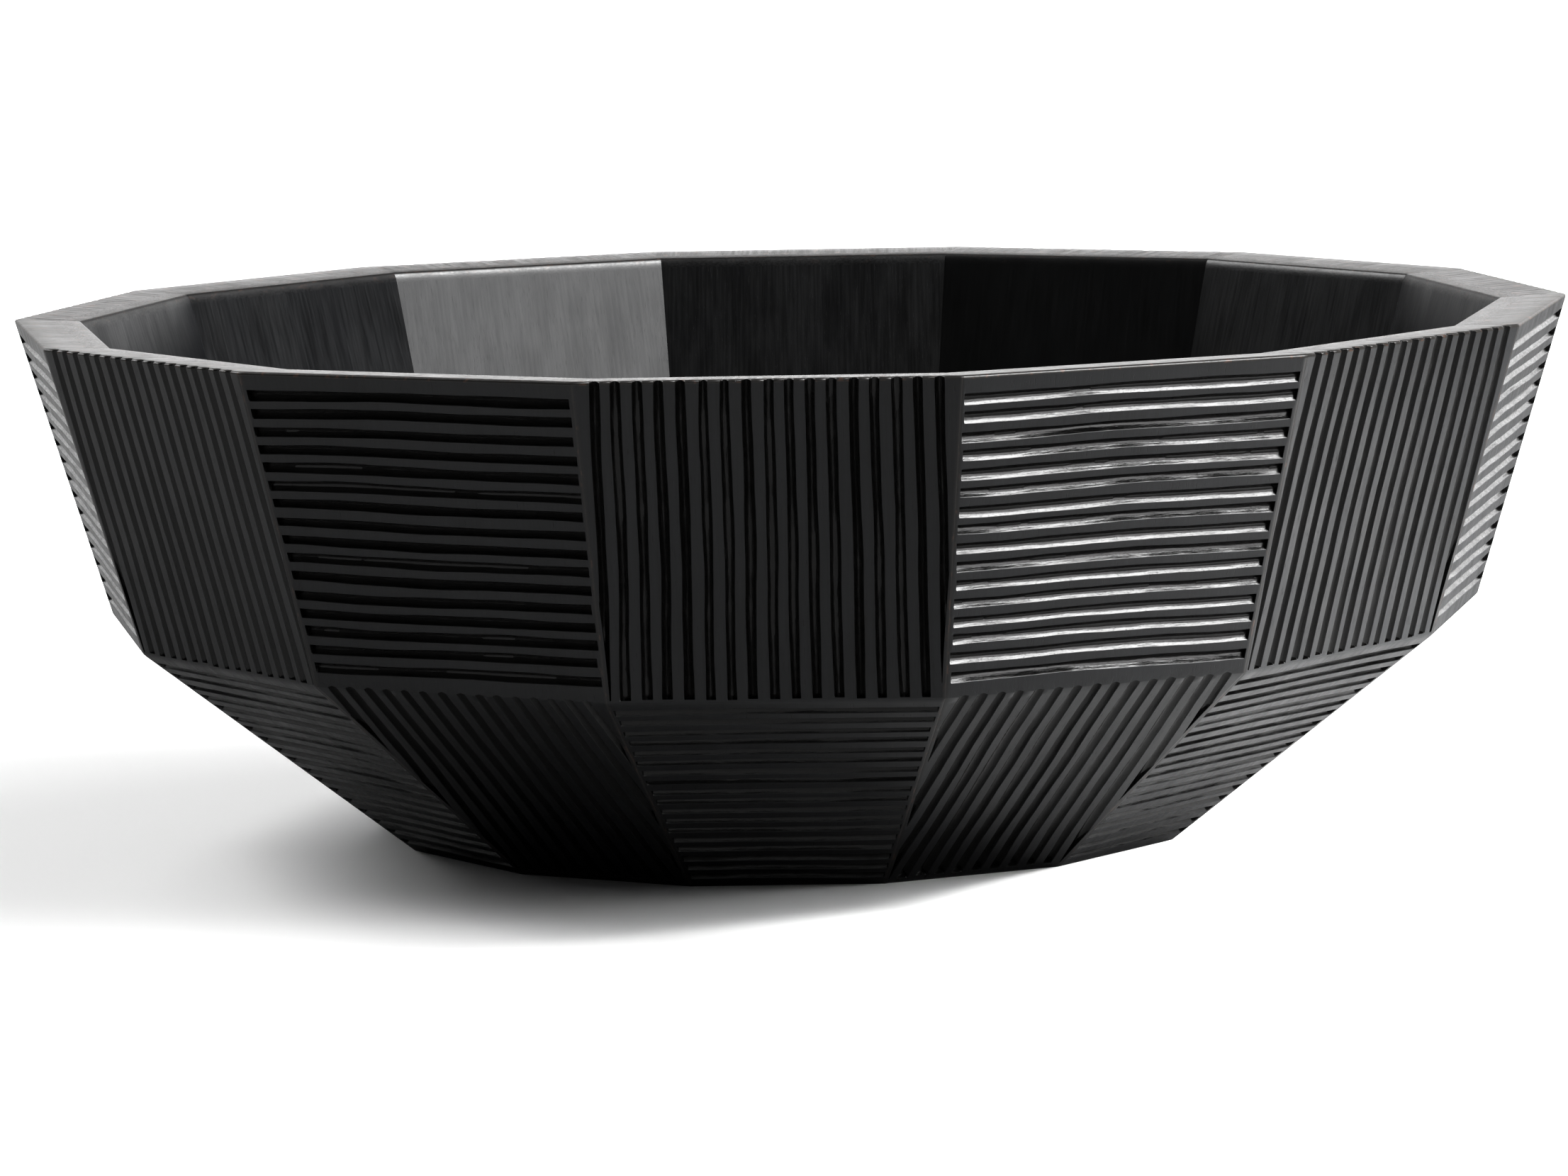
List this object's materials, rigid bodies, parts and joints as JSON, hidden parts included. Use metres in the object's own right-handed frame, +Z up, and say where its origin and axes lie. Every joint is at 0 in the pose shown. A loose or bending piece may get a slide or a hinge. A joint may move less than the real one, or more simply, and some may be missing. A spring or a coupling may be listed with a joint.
{
  "type": "faceted wooden bowl",
  "caption": "Wide faceted wooden bowl, coopered from two rings of mitred boards on a flat base, its outer faces carved with upright and level gouge grooves in a checkerboard.",
  "frame": {"origin": "centre of the flat underside, on the surface that the bowl stands on", "axes": "+Z up along the bowl's axis; -Y faces the first stave, whose upper board has upright grooves; +X to its right"},
  "size_m": [0.44, 0.429, 0.146],
  "materials": {
    "black_stained_wood": "black stain worked into open-grained wood, satin on the ridges and rough in the grooves",
    "base_wood": "black stain on plain flat wood, matt and lightly rubbed underneath"
  },
  "bodies": {
    "root": {"upper_stave_01": "black_stained_wood", "upper_stave_02": "black_stained_wood", "upper_stave_03": "black_stained_wood", "upper_stave_04": "black_stained_wood", "upper_stave_05": "black_stained_wood", "upper_stave_06": "black_stained_wood", "upper_stave_07": "black_stained_wood", "upper_stave_08": "black_stained_wood", "upper_stave_09": "black_stained_wood", "upper_stave_10": "black_stained_wood", "upper_stave_11": "black_stained_wood", "upper_stave_12": "black_stained_wood", "upper_stave_13": "black_stained_wood", "upper_stave_14": "black_stained_wood", "lower_stave_01": "black_stained_wood", "lower_stave_02": "black_stained_wood", "lower_stave_03": "black_stained_wood", "lower_stave_04": "black_stained_wood", "lower_stave_05": "black_stained_wood", "lower_stave_06": "black_stained_wood", "lower_stave_07": "black_stained_wood", "lower_stave_08": "black_stained_wood", "lower_stave_09": "black_stained_wood", "lower_stave_10": "black_stained_wood", "lower_stave_11": "black_stained_wood", "lower_stave_12": "black_stained_wood", "lower_stave_13": "black_stained_wood", "lower_stave_14": "black_stained_wood", "base_panel": "base_wood"}
  },
  "joints": []
}
